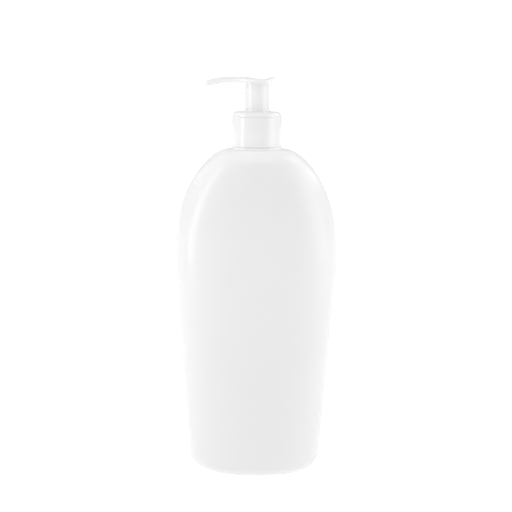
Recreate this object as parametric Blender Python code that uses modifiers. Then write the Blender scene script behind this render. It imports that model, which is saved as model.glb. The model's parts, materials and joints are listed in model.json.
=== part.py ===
"""Oval shampoo bottle with a screw-on lotion pump.

Frame: metres, +Z up, origin in the middle of the foot. The broad face looks along -Y and the
nozzle points along -X. The neck, the closure and the whole pump share the Z axis.
"""
import math

import bmesh
import bpy
from mathutils import Vector

MM = 0.001

# Clearances
SEAT_GAP = 0.3 * MM          # along the axis, between pieces that bear on each other
FIT_GAP = 0.15 * MM          # radial, a plug pressed into its socket
RUN_GAP = 0.3 * MM           # radial, a piece that slides in its bore

# Bottle body
BODY_WIDTH = 107.8 * MM
BODY_DEPTH = 62.2 * MM
BODY_HEIGHT = 217.5 * MM     # foot to the top of the shoulder
BODY_ROUNDNESS = 2.2         # superellipse exponent of the oval section
BOTTLE_WALL = 1.2 * MM
FOOT_WIDTH = 89.8 * MM
FOOT_DEPTH = 61.0 * MM
FOOT_RADIUS = 8.1 * MM       # rounded edge round the foot
FOOT_RIM = 3.0 * MM          # flat ring that the bottle stands on
PUSH_UP = 3.5 * MM
SHOULDER_HEIGHT = 65.5 * MM
SHOULDER_LAND = 5.2 * MM     # from the neck to where the shoulder turns flat
SHOULDER_REACH = 15.2 * MM   # how far in the shoulder's curve is pulled
SHOULDER_PINCH = 3.6 * MM    # the same across the depth

# Neck finish, 28 mm, one right-hand thread of 6 turns per inch
NECK_WALL = 1.2 * MM
NECK_HEIGHT = 16.5 * MM
NECK_BEAD = 3.3 * MM
NECK_BEAD_HEIGHT = 1.3 * MM
THREAD_PITCH = 25.4 / 6 * MM
THREAD_DEPTH = 1.15 * MM
THREAD_TURNS = 1.25
THREAD_BASE = 1.8 * MM
THREAD_CREST = 0.8 * MM
THREAD_ROOT = 0.4 * MM       # how far a ridge is rooted in its wall
THREAD_DROP = 2.3 * MM       # neck top to the highest point of the ridge's middle

# Pump
PUMP_STROKE = 15.5 * MM
STEM_RADIUS = 3.5 * MM
STEM_BORE = 2.2 * MM
STEM_COLLAR = 1.0 * MM
STEM_COLLAR_HEIGHT = 1.4 * MM
BARREL_BORE = 6.0 * MM
BARREL_WALL = 1.0 * MM
CUP_WALL = 0.8 * MM
CUP_CLEARANCE = 1.5 * MM     # between the cup and the neck's bore
HOUSING_FLANGE = 1.6 * MM
VENT_RADIUS = 0.5 * MM
GASKET_THICKNESS = 1.0 * MM
PISTON_LENGTH = 8.0 * MM
PISTON_SLIP = 1.2 * MM
PISTON_WALL = 0.7 * MM
PIN_HEAD_RADIUS = 4.6 * MM
PIN_HEAD_HEIGHT = 3.1 * MM
PIN_BORE = 1.2 * MM
PIN_PLUG = 7.0 * MM          # length pressed into the stem
PIN_TAIL_RADIUS = 2.2 * MM
PIN_TAIL = 7.0 * MM
SPRING_RADIUS = 4.2 * MM
SPRING_WIRE = 0.4 * MM       # radius
SPRING_TURNS = 8
SPRING_SPARE = 1.7 * MM      # left in the spring at full stroke
CAGE_THICKNESS = 1.2 * MM
CAGE_BORE = 1.9 * MM
BALL_RADIUS = 2.4 * MM
BALL_LIFT = 2.0 * MM
CHAMBER_CLEARANCE = 0.8 * MM
SEAT_BORE = 1.7 * MM
SEAT_HEIGHT = 2.0 * MM
INLET_LENGTH = 2.0 * MM
DIP_TUBE_RADIUS = 3.9 * MM
DIP_TUBE_WALL = 1.0 * MM
DIP_SOCKET = 12.0 * MM
DIP_CLEARANCE = 2.0 * MM     # tube tip to the bottle's inside floor

# Chaplet, the plug that guides the actuator's sleeve
CHAPLET_WALL = 0.85 * MM
CHAPLET_FLANGE = 1.5 * MM
CHAPLET_FLOOR = 1.2 * MM
CHAPLET_RIM_WALL = 0.5 * MM
CHAPLET_RIM = 1.1 * MM       # how far it stands above the closure

# Closure and its outer sleeve
CLOSURE_WALL = 0.85 * MM
CLOSURE_ROOF = 1.9 * MM
CLOSURE_CROWN = 3.0 * MM     # height that shows above the sleeve
CLOSURE_CROWN_STEP = 0.3 * MM
CLOSURE_CROWN_RADIUS = 2.6 * MM
CLOSURE_HOLD = 0.25 * MM     # between the snap bead and the housing's flange
SLEEVE_EDGE_WALL = 0.6 * MM
SLEEVE_BELLY = 0.4 * MM

# Actuator head
HEAD_SLEEVE_RADIUS = 7.65 * MM
HEAD_SLEEVE_WALL = 1.05 * MM
HEAD_CLEARANCE = 1.3 * MM    # paddle to chaplet at full stroke
HEAD_SLEEVE_ENGAGED = 0.8 * MM   # length inside the chaplet at rest
SOCKET_WALL = 1.35 * MM
SOCKET_DEPTH = 8.0 * MM
PADDLE_RADIUS = 11.4 * MM
PADDLE_HEIGHT = 3.8 * MM
PADDLE_DISH = 1.5 * MM
DISH_OFFSET = 3.7 * MM
DISH_RUN_IN = 12.5 * MM      # from the flat of the nozzle to the lowest point
DISH_RUN_OUT = 6.3 * MM      # from the lowest point to the back lip
NOZZLE_REACH = 32.8 * MM
NOZZLE_TIP = 3.4 * MM        # half width
NOZZLE_BEND = 18.0 * MM      # where the nozzle starts to droop
NOZZLE_DROOP = 2.6 * MM
NOZZLE_EDGE = 1.3 * MM
OUTLET_RADIUS = 1.0 * MM
GUSSET = 0.75 * MM           # half the side of the square bar in the corner

# Facets
BODY_SIDES = 48
COLLAR_SIDES = 40
PUMP_SIDES = 28
SMALL_SIDES = 20
SPRING_STEPS = 10            # a turn
EDGE = 0.3 * MM              # small broken edges

# Radii that follow
CHAPLET_BORE = HEAD_SLEEVE_RADIUS + RUN_GAP
CHAPLET_RADIUS = CHAPLET_BORE + CHAPLET_WALL
CUP_BORE = CHAPLET_RADIUS + RUN_GAP
CUP_RADIUS = CUP_BORE + CUP_WALL
NECK_BORE = CUP_RADIUS + CUP_CLEARANCE
NECK_RADIUS = NECK_BORE + NECK_WALL
HOUSING_FLANGE_RADIUS = NECK_RADIUS + 0.4 * MM
CLOSURE_BORE = NECK_RADIUS + THREAD_DEPTH + 0.2 * MM
CLOSURE_RADIUS = CLOSURE_BORE + CLOSURE_WALL
SLEEVE_BORE = CLOSURE_RADIUS + FIT_GAP + 0.1 * MM
SLEEVE_EDGE = SLEEVE_BORE + SLEEVE_EDGE_WALL
BARREL_RADIUS = BARREL_BORE + BARREL_WALL
CHAMBER_BORE = BALL_RADIUS + CHAMBER_CLEARANCE
DIP_SOCKET_BORE = DIP_TUBE_RADIUS + FIT_GAP
DIP_SOCKET_RADIUS = DIP_SOCKET_BORE + BARREL_WALL

# Levels that follow, from the neck up
SHOULDER_START = BODY_HEIGHT - SHOULDER_HEIGHT
NECK_TOP = BODY_HEIGHT + NECK_HEIGHT
BEAD_TOP = BODY_HEIGHT + NECK_BEAD_HEIGHT
GASKET_BOTTOM = NECK_TOP + SEAT_GAP
FLANGE_BOTTOM = GASKET_BOTTOM + GASKET_THICKNESS + SEAT_GAP
FLANGE_TOP = FLANGE_BOTTOM + HOUSING_FLANGE
CHAPLET_FLANGE_BOTTOM = FLANGE_TOP + SEAT_GAP
CHAPLET_FLANGE_TOP = CHAPLET_FLANGE_BOTTOM + CHAPLET_FLANGE
ROOF_BOTTOM = CHAPLET_FLANGE_TOP + SEAT_GAP
CLOSURE_TOP = ROOF_BOTTOM + CLOSURE_ROOF
CHAPLET_TOP = CLOSURE_TOP + CHAPLET_RIM
SLEEVE_TOP = CLOSURE_TOP - CLOSURE_CROWN - SEAT_GAP
SLEEVE_BOTTOM = BEAD_TOP + SEAT_GAP
HEAD_BOTTOM = CHAPLET_FLANGE_TOP - HEAD_SLEEVE_ENGAGED
HEAD_UNDERSIDE = CHAPLET_TOP + PUMP_STROKE + HEAD_CLEARANCE
HEAD_TOP = HEAD_UNDERSIDE + PADDLE_HEIGHT

# Levels that follow, down through the pump
CHAPLET_FLOOR_TOP = HEAD_BOTTOM - PUMP_STROKE - SEAT_GAP
CHAPLET_FLOOR_BOTTOM = CHAPLET_FLOOR_TOP - CHAPLET_FLOOR
CUP_FLOOR = CHAPLET_FLOOR_BOTTOM - SEAT_GAP
STEM_COLLAR_TOP = CHAPLET_FLOOR_BOTTOM - SEAT_GAP
STEM_COLLAR_BOTTOM = STEM_COLLAR_TOP - STEM_COLLAR_HEIGHT
PISTON_TOP = STEM_COLLAR_BOTTOM - SEAT_GAP - PISTON_SLIP
PISTON_BOTTOM = PISTON_TOP - PISTON_LENGTH
PIN_HEAD_TOP = PISTON_BOTTOM - SEAT_GAP
PIN_HEAD_BOTTOM = PIN_HEAD_TOP - PIN_HEAD_HEIGHT
STEM_BOTTOM = PIN_HEAD_TOP + 1.8 * MM
SPRING_TOP = PIN_HEAD_BOTTOM - SEAT_GAP
SPRING_SOLID = SPRING_TURNS * 2 * SPRING_WIRE + SPRING_SPARE
SPRING_BOTTOM = SPRING_TOP - PUMP_STROKE - SPRING_SOLID
CAGE_TOP = SPRING_BOTTOM - SEAT_GAP
CAGE_BOTTOM = CAGE_TOP - CAGE_THICKNESS
BARREL_FLOOR = CAGE_BOTTOM - SEAT_GAP
BALL_CENTRE = BARREL_FLOOR - BALL_LIFT - BALL_RADIUS
SEAT_SLOPE = math.atan2(CHAMBER_BORE - SEAT_BORE, SEAT_HEIGHT)
SEAT_BOTTOM = (BALL_CENTRE - (BALL_RADIUS + FIT_GAP) / math.sin(SEAT_SLOPE)
               + SEAT_BORE / math.tan(SEAT_SLOPE))
INLET_BOTTOM = SEAT_BOTTOM - INLET_LENGTH
DIP_TUBE_TOP = INLET_BOTTOM - SEAT_GAP
DIP_SOCKET_BOTTOM = INLET_BOTTOM - DIP_SOCKET
DIP_TUBE_BOTTOM = PUSH_UP + BOTTLE_WALL + DIP_CLEARANCE


# ---------------------------------------------------------------- helpers

def new_collection(name):
    collection = bpy.data.collections.new(name)
    bpy.context.scene.collection.children.link(collection)
    return collection


def make_material(name, colour, roughness, metallic=0.0, alpha=1.0):
    material = bpy.data.materials.new(name)
    material.use_nodes = True
    shader = material.node_tree.nodes["Principled BSDF"]
    shader.inputs["Base Color"].default_value = (*colour, 1.0)
    shader.inputs["Roughness"].default_value = roughness
    shader.inputs["Metallic"].default_value = metallic
    shader.inputs["Alpha"].default_value = alpha
    return material


def add_object(name, data, collection):
    thing = bpy.data.objects.new(name, data)
    collection.objects.link(thing)
    return thing


def smooth(mesh):
    mesh.shade_smooth()
    mesh.set_sharp_from_angle(angle=math.radians(35))


def turned(name, profile, sides, collection):
    """Turn a closed (radius, z) outline about Z; the outer side runs from top to bottom."""
    mesh = bpy.data.meshes.new(name)
    points = [(radius, 0.0, z) for radius, z in profile]
    edges = [(i, (i + 1) % len(points)) for i in range(len(points))]
    if profile[0][0] == 0.0 and profile[-1][0] == 0.0:
        edges.pop()
    mesh.from_pydata(points, edges, [])
    thing = add_object(name, mesh, collection)
    screw = thing.modifiers.new("Turn", "SCREW")
    screw.steps = sides
    screw.render_steps = sides
    screw.use_merge_vertices = True
    screw.merge_threshold = 1e-6
    screw.use_smooth_shade = False
    return thing


def loft(name, rings, collection, cap_start=True, cap_end=True):
    """Skin a list of equal rings of points; the caps are single faces."""
    mesh = bpy.data.meshes.new(name)
    bm = bmesh.new()
    loops = [[bm.verts.new(point) for point in ring] for ring in rings]
    count = len(rings[0])
    for lower, upper in zip(loops, loops[1:]):
        for i in range(count):
            j = (i + 1) % count
            bm.faces.new((lower[i], lower[j], upper[j], upper[i]))
    if cap_start:
        bm.faces.new(list(reversed(loops[0])))
    if cap_end:
        bm.faces.new(loops[-1])
    bmesh.ops.recalc_face_normals(bm, faces=bm.faces)
    bm.to_mesh(mesh)
    bm.free()
    return add_object(name, mesh, collection)


def cylinder(name, radius, bottom, top, collection, sides=SMALL_SIDES):
    mesh = bpy.data.meshes.new(name)
    bm = bmesh.new()
    bmesh.ops.create_cone(bm, cap_ends=True, segments=sides, radius1=radius, radius2=radius,
                          depth=top - bottom)
    bm.to_mesh(mesh)
    bm.free()
    thing = add_object(name, mesh, collection)
    thing.location.z = (top + bottom) / 2
    return thing


def box(name, size, centre, collection):
    mesh = bpy.data.meshes.new(name)
    bm = bmesh.new()
    bmesh.ops.create_cube(bm, size=1.0)
    bmesh.ops.scale(bm, vec=size, verts=bm.verts)
    bm.to_mesh(mesh)
    bm.free()
    thing = add_object(name, mesh, collection)
    thing.location = centre
    return thing


def swept_tube(name, points, radius, collection, resolution=2):
    """A round bar along a list of points, as a curve with filled ends."""
    curve = bpy.data.curves.new(name, "CURVE")
    curve.dimensions = "3D"
    curve.bevel_depth = radius
    curve.bevel_resolution = resolution
    curve.use_fill_caps = True
    spline = curve.splines.new("POLY")
    spline.points.add(len(points) - 1)
    for place, point in zip(spline.points, points):
        place.co = (*point, 1.0)
    return add_object(name, curve, collection)


def curve_to_mesh(thing, collection):
    """Swap a curve object for a welded mesh, so that it can take part in a Boolean."""
    bpy.context.view_layer.update()
    graph = bpy.context.evaluated_depsgraph_get()
    mesh = bpy.data.meshes.new_from_object(thing.evaluated_get(graph))
    bm = bmesh.new()
    bm.from_mesh(mesh)
    bmesh.ops.remove_doubles(bm, verts=bm.verts, dist=1e-6)
    bmesh.ops.recalc_face_normals(bm, faces=bm.faces)
    bm.to_mesh(mesh)
    bm.free()
    name = thing.name
    place = thing.matrix_world.copy()
    bpy.data.objects.remove(thing)
    welded = add_object(name, mesh, collection)
    welded.matrix_world = place
    return welded


def combine(thing, other, operation):
    """Join another object to this one, or cut it away."""
    boolean = thing.modifiers.new(other.name, "BOOLEAN")
    boolean.operation = operation
    boolean.object = other
    boolean.solver = "EXACT"
    other.hide_render = True
    other.display_type = "WIRE"


def bezier(start, first, second, end, count):
    """Points along one cubic Bezier curve, both ends included."""
    corners = [Vector(corner) for corner in (start, first, second, end)]
    points = []
    for i in range(count + 1):
        t = i / count
        weights = ((1 - t) ** 3, 3 * t * (1 - t) ** 2, 3 * t * t * (1 - t), t ** 3)
        points.append(sum((c * w for c, w in zip(corners, weights)), Vector([0.0] * len(start))))
    return points


def arc(centre, radius, first, last, count):
    """(x, y) points along an arc; angles in degrees."""
    points = []
    for i in range(count + 1):
        angle = math.radians(first + (last - first) * i / count)
        points.append((centre[0] + radius * math.cos(angle), centre[1] + radius * math.sin(angle)))
    return points


def signed_power(value, power):
    return math.copysign(abs(value) ** power, value)


def thread_ridge(name, wall, crest, top, collection):
    """A right-hand helical ridge whose ends fade into the wall; top is its middle's last height."""
    inward = math.copysign(1.0, wall - crest)
    root = wall + inward * THREAD_ROOT
    steps = round(THREAD_TURNS * 24)
    rings = []
    for i in range(steps + 1):
        turn = THREAD_TURNS * i / steps
        fade = min(1.0, 8 * min(turn, THREAD_TURNS - turn) + 0.05)
        height = wall - (wall - crest) * fade
        z = top - THREAD_PITCH * (THREAD_TURNS - turn)
        angle = math.tau * turn
        section = [(root, -THREAD_BASE / 2), (height, -THREAD_CREST / 2),
                   (height, THREAD_CREST / 2), (root, THREAD_BASE / 2)]
        rings.append([(r * math.cos(angle), r * math.sin(angle), z + dz) for r, dz in section])
    return loft(name, rings, collection)


# ---------------------------------------------------------------- bottle

def oval(half_width, half_depth, z, roundness):
    points = []
    for i in range(BODY_SIDES):
        angle = math.tau * i / BODY_SIDES
        x = half_width * signed_power(math.cos(angle), 2 / roundness)
        y = half_depth * signed_power(math.sin(angle), 2 / roundness)
        points.append((x, y, z))
    return points


def bottle_levels():
    """(half width, half depth, z, roundness) from the push-up's edge to the neck's top."""
    foot_x = FOOT_WIDTH / 2
    foot_y = FOOT_DEPTH / 2
    body_x = BODY_WIDTH / 2
    body_y = BODY_DEPTH / 2
    rim = FOOT_RADIUS + FOOT_RIM
    levels = []
    for inset, z in ((9.0 * MM, PUSH_UP), (4.0 * MM, 0.75 * PUSH_UP), (0.0, 0.0)):
        levels.append((foot_x - rim - inset, foot_y - rim - inset, z, BODY_ROUNDNESS))
    for inset, z in arc((FOOT_RADIUS, FOOT_RADIUS), FOOT_RADIUS, 270, 180, 4):
        levels.append((foot_x - inset, foot_y - inset, z, BODY_ROUNDNESS))
    side = SHOULDER_START - FOOT_RADIUS
    flank = bezier((foot_x, foot_y, FOOT_RADIUS),
                   (body_x - 1.8 * MM, body_y - 0.1 * MM, FOOT_RADIUS + 0.77 * side),
                   (body_x, body_y, SHOULDER_START - 0.1 * side),
                   (body_x, body_y, SHOULDER_START), 6)
    for x, y, z in flank[1:]:
        levels.append((x, y, z, BODY_ROUNDNESS))
    land = NECK_RADIUS + SHOULDER_LAND
    steps = 12
    shoulder = bezier((body_x, body_y, SHOULDER_START),
                      (body_x, body_y, SHOULDER_START + 0.52 * SHOULDER_HEIGHT),
                      (land + SHOULDER_REACH, body_y - SHOULDER_PINCH, BODY_HEIGHT),
                      (land, land - 1.0 * MM, BODY_HEIGHT), steps)
    for i, (x, y, z) in enumerate(shoulder[1:], 1):
        levels.append((x, y, z, BODY_ROUNDNESS + (2.0 - BODY_ROUNDNESS) * i / steps))
    for grow, z in ((NECK_WALL, BODY_HEIGHT + 0.1 * MM), (0.0, BODY_HEIGHT + 1.0 * MM),
                    (0.0, NECK_TOP)):
        levels.append((NECK_RADIUS + grow, NECK_RADIUS + grow, z, 2.0))
    return levels


def make_bottle(parts, cutters):
    rings = [oval(*level) for level in bottle_levels()]
    bottle = loft("bottle", rings, parts, cap_end=False)
    shell = bottle.modifiers.new("Wall", "SOLIDIFY")
    shell.thickness = BOTTLE_WALL
    shell.offset = -1.0
    shell.use_even_offset = True
    inner = NECK_RADIUS - NECK_WALL / 2
    outer = NECK_RADIUS + NECK_BEAD
    foot = BODY_HEIGHT - EDGE
    bead = turned("neck_bead", [(inner, BEAD_TOP), (outer - EDGE, BEAD_TOP),
                                (outer, BEAD_TOP - EDGE), (outer, foot), (inner, foot)],
                  COLLAR_SIDES, cutters)
    thread = thread_ridge("neck_thread", NECK_RADIUS, NECK_RADIUS + THREAD_DEPTH,
                          NECK_TOP - THREAD_DROP, cutters)
    combine(bottle, bead, "UNION")
    combine(bottle, thread, "UNION")
    return bottle


# ---------------------------------------------------------------- closure

def make_closure(parts, cutters):
    """Threaded inner cap; its crown shows above the sleeve that is pressed over it."""
    hole = CHAPLET_BORE + CHAPLET_RIM_WALL + RUN_GAP
    crown = SLEEVE_EDGE - CLOSURE_CROWN_STEP
    step = CLOSURE_TOP - CLOSURE_CROWN
    centre = (crown - CLOSURE_CROWN_RADIUS, CLOSURE_TOP - CLOSURE_CROWN_RADIUS)
    rounded = arc(centre, CLOSURE_CROWN_RADIUS, 90, 0, 5)
    bottom = SLEEVE_BOTTOM + SEAT_GAP
    snap = CLOSURE_BORE - (HOUSING_FLANGE_RADIUS + CLOSURE_HOLD)
    snap_top = FLANGE_BOTTOM - 0.2 * MM
    profile = [(hole, CLOSURE_TOP), *rounded, (crown, step), (CLOSURE_RADIUS, step),
               (CLOSURE_RADIUS, bottom), (CLOSURE_BORE, bottom),
               (CLOSURE_BORE, snap_top - 2 * snap), (CLOSURE_BORE - snap, snap_top - 0.4 * MM),
               (CLOSURE_BORE, snap_top), (CLOSURE_BORE, ROOF_BOTTOM), (hole, ROOF_BOTTOM)]
    closure = turned("closure", profile, COLLAR_SIDES, parts)
    thread = thread_ridge("closure_thread", CLOSURE_BORE, NECK_RADIUS + 0.4 * MM,
                          NECK_TOP - THREAD_DROP - THREAD_PITCH / 2, cutters)
    combine(closure, thread, "UNION")
    return closure


def make_collar_sleeve(parts):
    """Smooth, slightly barrelled outer sleeve of the closure."""
    third = (SLEEVE_TOP - SLEEVE_BOTTOM) / 3
    flank = bezier((SLEEVE_EDGE, SLEEVE_TOP - 1.5 * EDGE),
                   (SLEEVE_EDGE + SLEEVE_BELLY, SLEEVE_TOP - third),
                   (SLEEVE_EDGE + 1.3 * SLEEVE_BELLY, SLEEVE_BOTTOM + third),
                   (SLEEVE_EDGE + 0.6 * SLEEVE_BELLY, SLEEVE_BOTTOM + 4 * EDGE), 6)
    profile = [(SLEEVE_BORE, SLEEVE_TOP), (SLEEVE_EDGE - EDGE, SLEEVE_TOP),
               *[tuple(point) for point in flank],
               (SLEEVE_EDGE, SLEEVE_BOTTOM + 1.5 * EDGE), (SLEEVE_EDGE - EDGE, SLEEVE_BOTTOM),
               (SLEEVE_BORE, SLEEVE_BOTTOM)]
    return turned("collar_sleeve", profile, COLLAR_SIDES, parts)


def make_chaplet(parts):
    """Guide for the head's sleeve: a flanged cup with a floor that stops the stem's collar."""
    rim = CHAPLET_BORE + CHAPLET_RIM_WALL
    flange = NECK_BORE + 0.4 * MM
    hole = STEM_RADIUS + RUN_GAP
    profile = [(CHAPLET_BORE, CHAPLET_TOP), (rim, CHAPLET_TOP), (rim, CHAPLET_FLANGE_TOP),
               (flange, CHAPLET_FLANGE_TOP), (flange, CHAPLET_FLANGE_BOTTOM),
               (CHAPLET_RADIUS, CHAPLET_FLANGE_BOTTOM), (CHAPLET_RADIUS, CHAPLET_FLOOR_BOTTOM),
               (hole, CHAPLET_FLOOR_BOTTOM), (hole, CHAPLET_FLOOR_TOP),
               (CHAPLET_BORE, CHAPLET_FLOOR_TOP)]
    return turned("chaplet", profile, COLLAR_SIDES, parts)


# ---------------------------------------------------------------- pump engine

def make_gasket(parts):
    inner = CUP_RADIUS + RUN_GAP
    outer = NECK_RADIUS + 0.3 * MM
    top = GASKET_BOTTOM + GASKET_THICKNESS
    profile = [(inner, top), (outer, top), (outer, GASKET_BOTTOM), (inner, GASKET_BOTTOM)]
    return turned("neck_gasket", profile, PUMP_SIDES, parts)


def make_housing(parts, cutters):
    """Flanged cup, barrel, ball chamber and dip-tube socket in one stepped tube."""
    chamber = CHAMBER_BORE + BARREL_WALL
    shelf = CUP_FLOOR - BARREL_WALL
    neck = BARREL_FLOOR - BARREL_WALL
    outer = [(CUP_BORE, FLANGE_TOP), (HOUSING_FLANGE_RADIUS, FLANGE_TOP),
             (HOUSING_FLANGE_RADIUS, FLANGE_BOTTOM), (CUP_RADIUS, FLANGE_BOTTOM),
             (CUP_RADIUS, CUP_FLOOR), (BARREL_RADIUS, shelf), (BARREL_RADIUS, neck + EDGE),
             (BARREL_RADIUS - EDGE, neck), (chamber, neck), (chamber, SEAT_BOTTOM),
             (DIP_SOCKET_RADIUS, INLET_BOTTOM + BARREL_WALL),
             (DIP_SOCKET_RADIUS, DIP_SOCKET_BOTTOM)]
    inner = [(DIP_SOCKET_BORE, DIP_SOCKET_BOTTOM), (DIP_SOCKET_BORE, INLET_BOTTOM),
             (SEAT_BORE, INLET_BOTTOM), (SEAT_BORE, SEAT_BOTTOM),
             (CHAMBER_BORE, SEAT_BOTTOM + SEAT_HEIGHT), (CHAMBER_BORE, BARREL_FLOOR),
             (BARREL_BORE, BARREL_FLOOR), (BARREL_BORE, CUP_FLOOR), (CUP_BORE, CUP_FLOOR)]
    housing = turned("pump_housing", outer + inner, PUMP_SIDES, parts)
    vent = cylinder("vent_drill", VENT_RADIUS, 0.0, 2 * CUP_RADIUS, cutters, sides=12)
    vent.rotation_euler.x = math.radians(90)
    vent.location = (0.0, -CUP_RADIUS, CUP_FLOOR + 5.0 * MM)
    combine(housing, vent, "DIFFERENCE")
    return housing


def make_dip_tube(parts, cutters):
    bore = DIP_TUBE_RADIUS - DIP_TUBE_WALL
    profile = [(bore, DIP_TUBE_TOP), (DIP_TUBE_RADIUS, DIP_TUBE_TOP),
               (DIP_TUBE_RADIUS, DIP_TUBE_BOTTOM), (bore, DIP_TUBE_BOTTOM)]
    tube = turned("dip_tube", profile, SMALL_SIDES, parts)
    knife = box("tube_knife", (6 * DIP_TUBE_RADIUS,) * 3, (0.0, 0.0, 0.0), cutters)
    slope = math.radians(25)
    knife.rotation_euler.y = slope
    depth = 3 * DIP_TUBE_RADIUS / math.cos(slope) - DIP_TUBE_RADIUS * math.tan(slope)
    knife.location.z = DIP_TUBE_BOTTOM - depth
    combine(tube, knife, "DIFFERENCE")
    return tube


def make_ball_cage(parts, cutters):
    """Notched washer that stops the inlet ball and carries the spring."""
    rim = BARREL_BORE - RUN_GAP
    profile = [(CAGE_BORE, CAGE_TOP), (rim, CAGE_TOP), (rim, CAGE_BOTTOM), (CAGE_BORE, CAGE_BOTTOM)]
    cage = turned("ball_cage", profile, SMALL_SIDES, parts)
    for i in range(3):
        slot = box(f"cage_slot_{i + 1}", (2 * CAGE_BORE, 1.2 * MM, 4 * CAGE_THICKNESS),
                   (0.0, 0.0, (CAGE_TOP + CAGE_BOTTOM) / 2), cutters)
        slot.scale.x = 1.6
        slot.rotation_euler.z = math.radians(60 * i)
        combine(cage, slot, "DIFFERENCE")
    return cage


def make_ball(parts):
    mesh = bpy.data.meshes.new("inlet_ball")
    bm = bmesh.new()
    bmesh.ops.create_uvsphere(bm, u_segments=16, v_segments=10, radius=BALL_RADIUS)
    bm.to_mesh(mesh)
    bm.free()
    ball = add_object("inlet_ball", mesh, parts)
    ball.location.z = BALL_CENTRE
    return ball


def make_spring(parts):
    """Helix with one closed coil at each end."""
    low = SPRING_BOTTOM + SPRING_WIRE
    high = SPRING_TOP - SPRING_WIRE
    closed = 2.2 * SPRING_WIRE
    points = []
    for i in range(SPRING_STEPS * SPRING_TURNS + 1):
        turn = i / SPRING_STEPS
        rise = (turn - 1) / (SPRING_TURNS - 2)
        if turn < 1:
            z = low + closed * turn
        elif turn > SPRING_TURNS - 1:
            z = high - closed * (SPRING_TURNS - turn)
        else:
            z = low + closed + (high - low - 2 * closed) * rise
        angle = math.tau * turn
        points.append((SPRING_RADIUS * math.cos(angle), SPRING_RADIUS * math.sin(angle), z))
    return swept_tube("return_spring", points, SPRING_WIRE, parts)


def make_valve_pin(parts, cutters):
    """Plug in the stem's foot: it carries the piston and lets liquid in through a side port."""
    plug = STEM_BORE - FIT_GAP
    shank = plug + 0.35 * MM
    tip = PIN_HEAD_BOTTOM - PIN_TAIL
    plug_top = STEM_BOTTOM + PIN_PLUG
    profile = [(PIN_BORE, plug_top), (plug, plug_top), (plug, STEM_BOTTOM - SEAT_GAP),
               (shank, STEM_BOTTOM - SEAT_GAP), (shank, PIN_HEAD_TOP),
               (PIN_HEAD_RADIUS, PIN_HEAD_TOP), (PIN_HEAD_RADIUS, PIN_HEAD_BOTTOM),
               (PIN_TAIL_RADIUS, PIN_HEAD_BOTTOM), (PIN_TAIL_RADIUS, tip + 1.0 * MM),
               (PIN_TAIL_RADIUS - 1.0 * MM, tip), (0.0, tip)]
    blind = PIN_HEAD_TOP + 0.1 * MM
    outline = [(0.0, blind), (PIN_BORE, blind)] + profile
    pin = turned("valve_pin", outline, SMALL_SIDES, parts)
    port = box("port_drill", (6 * shank, 0.8 * MM, 0.8 * MM), (0.0, 0.0, blind + 0.6 * MM), cutters)
    combine(pin, port, "DIFFERENCE")
    return pin


def make_piston(parts):
    """Spool with a feathered lip at each end that seals in the barrel."""
    bore = STEM_RADIUS + FIT_GAP
    web = bore + PISTON_WALL
    lip = BARREL_BORE - FIT_GAP
    waist = lip - 0.9 * MM
    profile = [(bore, PISTON_TOP), (web, PISTON_TOP), (web, PISTON_TOP - 1.4 * MM),
               (lip - 0.3 * MM, PISTON_TOP), (lip, PISTON_TOP - 0.2 * MM),
               (waist, PISTON_TOP - 3.0 * MM), (waist, PISTON_BOTTOM + 3.0 * MM),
               (lip, PISTON_BOTTOM + 0.2 * MM), (lip - 0.3 * MM, PISTON_BOTTOM),
               (web, PISTON_BOTTOM + 1.4 * MM), (web, PISTON_BOTTOM), (bore, PISTON_BOTTOM)]
    return turned("piston", profile, SMALL_SIDES, parts)


def make_stem(parts):
    top = HEAD_UNDERSIDE - 2.6 * MM
    collar = STEM_RADIUS + STEM_COLLAR
    profile = [(STEM_BORE, top), (STEM_RADIUS, top), (STEM_RADIUS, STEM_COLLAR_TOP),
               (collar, STEM_COLLAR_TOP), (collar, STEM_COLLAR_BOTTOM),
               (STEM_RADIUS, STEM_COLLAR_BOTTOM), (STEM_RADIUS, STEM_BOTTOM),
               (STEM_BORE, STEM_BOTTOM)]
    return turned("stem", profile, SMALL_SIDES, parts)


# ---------------------------------------------------------------- actuator head

def nozzle_droop(x):
    reach = NOZZLE_REACH - NOZZLE_BEND
    past = max(0.0, -x - NOZZLE_BEND)
    return NOZZLE_DROOP * (past / reach) ** 1.7


def edge_round(distance):
    """Loss of half size close to an end that is rounded by NOZZLE_EDGE."""
    left = max(0.0, NOZZLE_EDGE - distance)
    return NOZZLE_EDGE - math.sqrt(NOZZLE_EDGE ** 2 - left ** 2)


def head_section(x):
    """(half width, bottom, top) of the head at x: a round paddle that runs out into a nozzle."""
    flank = min(1.0, max(0.0, -x / NOZZLE_BEND))
    ease = flank * flank * (3 - 2 * flank)
    neck = NOZZLE_TIP + 0.8 * MM
    width = PADDLE_RADIUS + (neck - PADDLE_RADIUS) * ease
    if x > 0.0:
        width = math.sqrt(max(0.0, PADDLE_RADIUS ** 2 - x * x))
    if x < -NOZZLE_BEND:
        width = neck - 0.8 * MM * (-x - NOZZLE_BEND) / (NOZZLE_REACH - NOZZLE_BEND)
    run = DISH_RUN_IN if x < DISH_OFFSET else DISH_RUN_OUT
    share = min(1.0, abs(x - DISH_OFFSET) / run)
    dish = PADDLE_DISH * (1 + math.cos(math.pi * share)) / 2
    lift = 1.1 * MM * max(0.0, (x - 0.7 * PADDLE_RADIUS) / (0.3 * PADDLE_RADIUS)) ** 2
    shrink = edge_round(x + NOZZLE_REACH) + edge_round(PADDLE_RADIUS + 0.2 * MM - x)
    bottom = HEAD_UNDERSIDE - nozzle_droop(x) + lift + shrink
    top = HEAD_TOP - nozzle_droop(x) - dish - shrink
    return max(width - edge_round(x + NOZZLE_REACH), 0.9 * MM), bottom, top


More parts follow.
